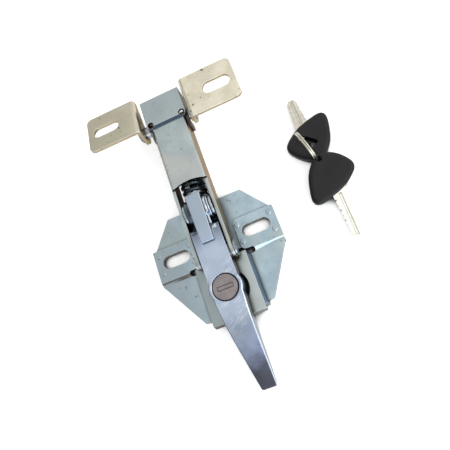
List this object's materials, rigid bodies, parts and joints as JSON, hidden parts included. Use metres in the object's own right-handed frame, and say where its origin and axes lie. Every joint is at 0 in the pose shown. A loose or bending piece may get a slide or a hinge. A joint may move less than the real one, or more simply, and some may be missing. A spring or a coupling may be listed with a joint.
{
  "type": "engine cover lock",
  "caption": "Keyed over-centre draw latch: slotted base, cast lever handle with key cylinder, channel arm with hook, two-bracket keeper and keys.",
  "frame": {"origin": "mid-point between the two base slots, on the mounting face", "axes": "+X across the lock, +Y along the arm towards the hook, +Z out of the mounting face"},
  "size_m": [0.1569, 0.2093, 0.032],
  "materials": {
    "base_zinc": "blue zinc plate",
    "keeper_zinc": "yellow zinc plate",
    "arm_zinc": "blue zinc plate",
    "cast_handle": "polished casting",
    "spring_black": "oil black",
    "pin_steel": "bright steel",
    "bush_brass": "turned",
    "lock_face": "satin",
    "bow_plastic": "fine grain",
    "key_nickel": "nickel plate"
  },
  "bodies": {
    "base": {"mounting_plate": "base_zinc", "pivot_bracket": "base_zinc", "lock_pan": "base_zinc", "pivot_pin": "pin_steel", "keeper_bracket_right": "keeper_zinc", "keeper_pin": "pin_steel", "keeper_pin_ring": "spring_black", "key_bow_1": "bow_plastic", "key_blade_1": "key_nickel", "key_bow_2": "bow_plastic", "key_blade_2": "key_nickel", "split_ring": "key_nickel"},
    "keeper_left": {"keeper_bracket_left": "keeper_zinc"},
    "lever": {"handle": "cast_handle", "hub_bushes": "bush_brass", "arm_pin": "pin_steel", "arm_pin_washers": "pin_steel", "arm_pin_rings": "pin_steel", "lock_barrel": "lock_face", "barrel_screw": "spring_black"},
    "plug": {"lock_plug": "lock_face", "wafer_tumblers": "bush_brass", "locking_cam": "pin_steel", "cam_washer": "pin_steel", "cam_screw": "pin_steel"},
    "shutter": {"dust_shutter": "lock_face"},
    "arm": {"hook_arm": "arm_zinc", "spring_seat": "arm_zinc", "throw_spring": "spring_black", "spring_plunger": "pin_steel", "guide_rod": "pin_steel"}
  },
  "joints": [
    {"name": "lever_lift", "type": "hinge", "parent": "base", "child": "lever", "pos_m": [0, 0.0195, 0.0184], "axis": [-1, 0, 0], "range_deg": [0, 100]},
    {"name": "arm_swing", "type": "hinge", "parent": "lever", "child": "arm", "pos_m": [0, -0.011, 0.0164], "axis": [1, 0, 0], "range_deg": [0, 120]},
    {"name": "plug_turn", "type": "hinge", "parent": "lever", "child": "plug", "pos_m": [0, -0.033, 0.0224], "axis": [0, 0, -1], "range_deg": [0, 90]},
    {"name": "shutter_flap", "type": "hinge", "parent": "plug", "child": "shutter", "pos_m": [0, -0.03375, 0.02175], "axis": [-1, 0, 0], "range_deg": [0, 80], "stiffness_Nm_per_rad": 0.0002},
    {"name": "keeper_left_swing", "type": "hinge", "parent": "base", "child": "keeper_left", "pos_m": [0, 0.089, 0.0179], "axis": [1, 0, 0], "range_deg": [-6, 20]}
  ],
  "couplings": [
    {"joint": "arm_swing", "follows": "lever_lift", "ratio": 1.2}
  ]
}
